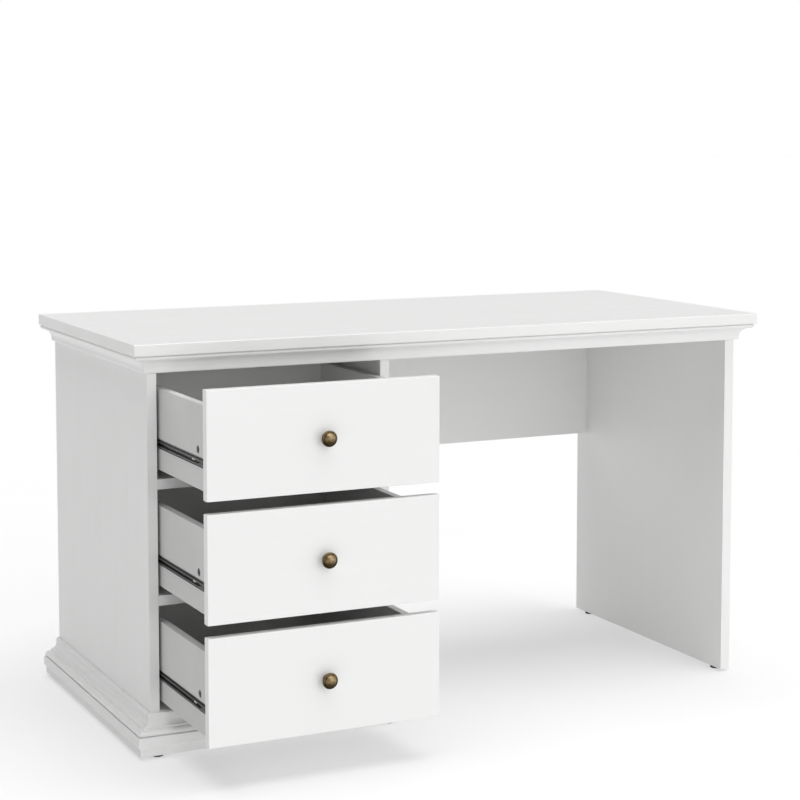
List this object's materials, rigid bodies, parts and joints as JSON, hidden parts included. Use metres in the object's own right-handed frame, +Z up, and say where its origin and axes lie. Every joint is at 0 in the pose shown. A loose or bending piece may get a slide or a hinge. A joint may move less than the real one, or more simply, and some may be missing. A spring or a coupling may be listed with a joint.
{
  "type": "writing desk",
  "caption": "White panel writing desk: moulded top and plinth, drawer pedestal on the left with sliding drawers and round knobs, open knee space, panel leg on the right.",
  "frame": {"origin": "on the floor, at the middle of the overall width and of the overall depth measured with the drawers standing open at rest", "axes": "+X to the desk's right seen from the sitter's side, along its width; +Y towards the back; +Z up; the drawers open towards -Y"},
  "size_m": [1.375, 0.89, 0.775],
  "materials": {
    "white_foil": "satin white foil on fibreboard",
    "drawer_board": "white melamine on chipboard",
    "zinc_steel": "zinc-plated sheet steel",
    "cage_plastic": "natural nylon with steel balls",
    "antique_brass": "antiqued, dark in the hollows",
    "black_plastic": "moulded, matte"
  },
  "bodies": {
    "carcass": {"top_board": "white_foil", "cornice_front": "white_foil", "cornice_left": "white_foil", "cornice_right": "white_foil", "pedestal_side": "white_foil", "partition": "white_foil", "leg_panel": "white_foil", "apron_rail": "white_foil", "pedestal_bottom": "white_foil", "pedestal_back": "white_foil", "modesty_panel": "white_foil", "rail_upper": "white_foil", "rail_lower": "white_foil", "plinth_front": "white_foil", "plinth_left": "white_foil", "glide_left_front": "black_plastic", "glide_left_back": "black_plastic", "glide_middle_front": "black_plastic", "glide_middle_back": "black_plastic", "glide_right_front": "black_plastic", "glide_right_back": "black_plastic", "cabinet_slide_1_left": "zinc_steel", "cabinet_slide_1_right": "zinc_steel", "cabinet_slide_2_left": "zinc_steel", "cabinet_slide_2_right": "zinc_steel", "cabinet_slide_3_left": "zinc_steel", "cabinet_slide_3_right": "zinc_steel"},
    "drawer_1": {"drawer_1_front": "white_foil", "drawer_1_side_left": "drawer_board", "drawer_1_side_right": "drawer_board", "drawer_1_back": "drawer_board", "drawer_1_bottom": "drawer_board", "drawer_1_slide_left": "zinc_steel", "drawer_1_slide_right": "zinc_steel", "drawer_1_knob": "antique_brass", "drawer_1_knob_screw": "zinc_steel"},
    "cage_1_left": {"ball_cage_1_left": "cage_plastic"},
    "cage_1_right": {"ball_cage_1_right": "cage_plastic"},
    "drawer_2": {"drawer_2_front": "white_foil", "drawer_2_side_left": "drawer_board", "drawer_2_side_right": "drawer_board", "drawer_2_back": "drawer_board", "drawer_2_bottom": "drawer_board", "drawer_2_slide_left": "zinc_steel", "drawer_2_slide_right": "zinc_steel", "drawer_2_knob": "antique_brass", "drawer_2_knob_screw": "zinc_steel"},
    "cage_2_left": {"ball_cage_2_left": "cage_plastic"},
    "cage_2_right": {"ball_cage_2_right": "cage_plastic"},
    "drawer_3": {"drawer_3_front": "white_foil", "drawer_3_side_left": "drawer_board", "drawer_3_side_right": "drawer_board", "drawer_3_back": "drawer_board", "drawer_3_bottom": "drawer_board", "drawer_3_slide_left": "zinc_steel", "drawer_3_slide_right": "zinc_steel", "drawer_3_knob": "antique_brass", "drawer_3_knob_screw": "zinc_steel"},
    "cage_3_left": {"ball_cage_3_left": "cage_plastic"},
    "cage_3_right": {"ball_cage_3_right": "cage_plastic"}
  },
  "joints": [
    {"name": "drawer_1_slide", "type": "slide", "parent": "carcass", "child": "drawer_1", "axis": [0, -1, 0], "range_m": [-0.26, 0.09]},
    {"name": "cage_1_left_slide", "type": "slide", "parent": "carcass", "child": "cage_1_left", "axis": [0, -1, 0], "range_m": [-0.131, 0.046]},
    {"name": "cage_1_right_slide", "type": "slide", "parent": "carcass", "child": "cage_1_right", "axis": [0, -1, 0], "range_m": [-0.131, 0.046]},
    {"name": "drawer_2_slide", "type": "slide", "parent": "carcass", "child": "drawer_2", "axis": [0, -1, 0], "range_m": [-0.26, 0.09]},
    {"name": "cage_2_left_slide", "type": "slide", "parent": "carcass", "child": "cage_2_left", "axis": [0, -1, 0], "range_m": [-0.131, 0.046]},
    {"name": "cage_2_right_slide", "type": "slide", "parent": "carcass", "child": "cage_2_right", "axis": [0, -1, 0], "range_m": [-0.131, 0.046]},
    {"name": "drawer_3_slide", "type": "slide", "parent": "carcass", "child": "drawer_3", "axis": [0, -1, 0], "range_m": [-0.26, 0.09]},
    {"name": "cage_3_left_slide", "type": "slide", "parent": "carcass", "child": "cage_3_left", "axis": [0, -1, 0], "range_m": [-0.131, 0.046]},
    {"name": "cage_3_right_slide", "type": "slide", "parent": "carcass", "child": "cage_3_right", "axis": [0, -1, 0], "range_m": [-0.131, 0.046]}
  ],
  "couplings": [
    {"joint": "cage_1_left_slide", "follows": "drawer_1_slide", "ratio": 0.5},
    {"joint": "cage_1_right_slide", "follows": "drawer_1_slide", "ratio": 0.5},
    {"joint": "cage_2_left_slide", "follows": "drawer_2_slide", "ratio": 0.5},
    {"joint": "cage_2_right_slide", "follows": "drawer_2_slide", "ratio": 0.5},
    {"joint": "cage_3_left_slide", "follows": "drawer_3_slide", "ratio": 0.5},
    {"joint": "cage_3_right_slide", "follows": "drawer_3_slide", "ratio": 0.5}
  ]
}
